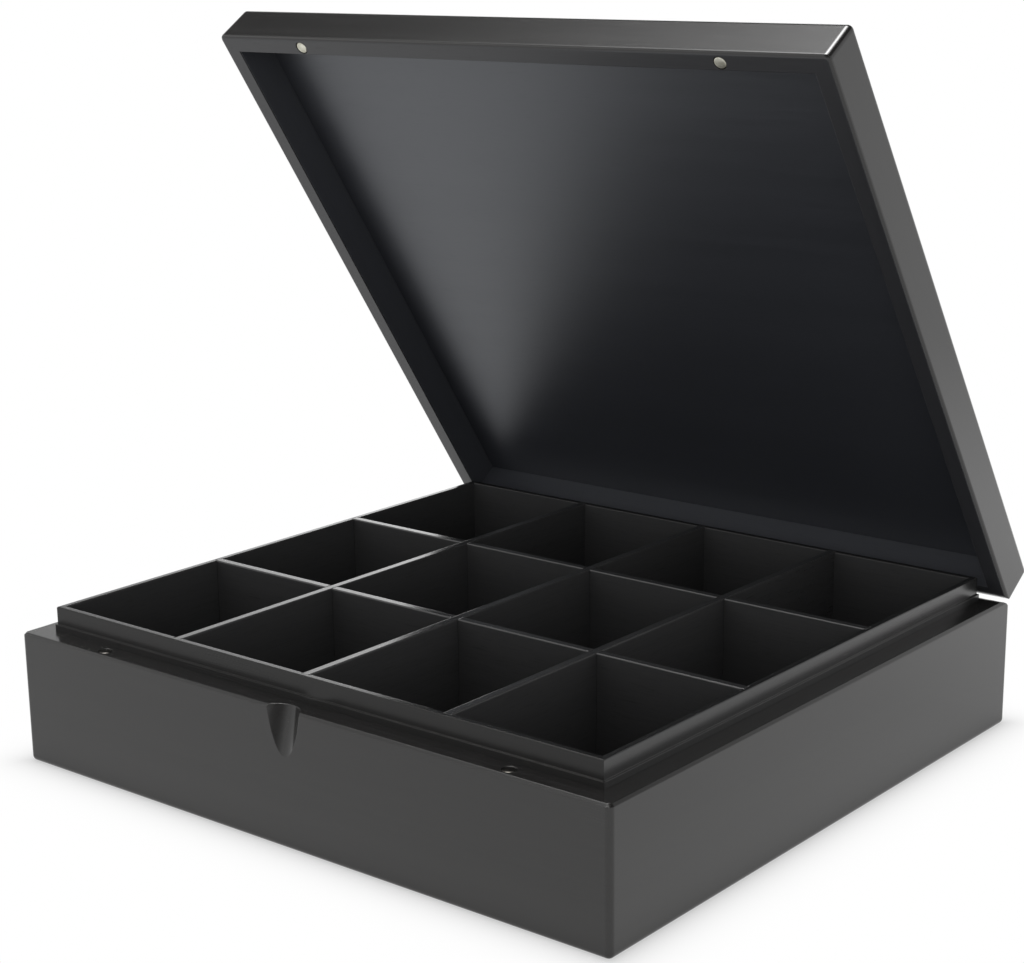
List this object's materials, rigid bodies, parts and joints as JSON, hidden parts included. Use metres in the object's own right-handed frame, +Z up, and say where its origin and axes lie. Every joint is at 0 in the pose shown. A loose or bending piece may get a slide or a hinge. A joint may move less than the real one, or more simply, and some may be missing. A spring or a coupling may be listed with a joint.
{
  "type": "compartment storage box",
  "caption": "Lidded black lacquered wooden box with open compartments between cross-lapped dividers; the lid closes over a raised lip and swings on two concealed butt hinges.",
  "frame": {"origin": "centre of the underside, on the surface that the box stands on", "axes": "+X along the front to the right, +Y from front to back, +Z up; the lid is open as pictured"},
  "size_m": [0.33, 0.3265, 0.328],
  "materials": {
    "outer_wood": "satin black lacquer over fine straight grain",
    "inner_wood": "satin black lacquer over fine straight grain",
    "hinge_steel": "nickel-plated steel",
    "screw_steel": "nickel-plated steel",
    "magnet_nickel": "bright nickel plating"
  },
  "bodies": {
    "base": {"front_wall": "outer_wood", "back_wall": "outer_wood", "left_wall": "outer_wood", "right_wall": "outer_wood", "bottom_panel": "outer_wood", "front_liner": "inner_wood", "back_liner": "inner_wood", "left_liner": "inner_wood", "right_liner": "inner_wood", "front_row_divider": "inner_wood", "back_row_divider": "inner_wood", "left_column_divider": "inner_wood", "middle_column_divider": "inner_wood", "right_column_divider": "inner_wood", "base_magnets": "magnet_nickel", "left_hinge_base_leaf": "hinge_steel", "right_hinge_base_leaf": "hinge_steel", "left_hinge_pin": "hinge_steel", "right_hinge_pin": "hinge_steel", "base_hinge_screws": "screw_steel"},
    "lid": {"lid_front_rail": "outer_wood", "lid_back_rail": "outer_wood", "lid_left_rail": "outer_wood", "lid_right_rail": "outer_wood", "lid_top_panel": "outer_wood", "lid_magnets": "magnet_nickel", "left_hinge_lid_leaf": "hinge_steel", "right_hinge_lid_leaf": "hinge_steel", "lid_hinge_screws": "screw_steel"}
  },
  "joints": [
    {"name": "lid_hinge", "type": "hinge", "parent": "base", "child": "lid", "pos_m": [0, 0.1525, 0.06145], "axis": [-1, 0, 0], "range_deg": [-56.1, 53.9]}
  ]
}
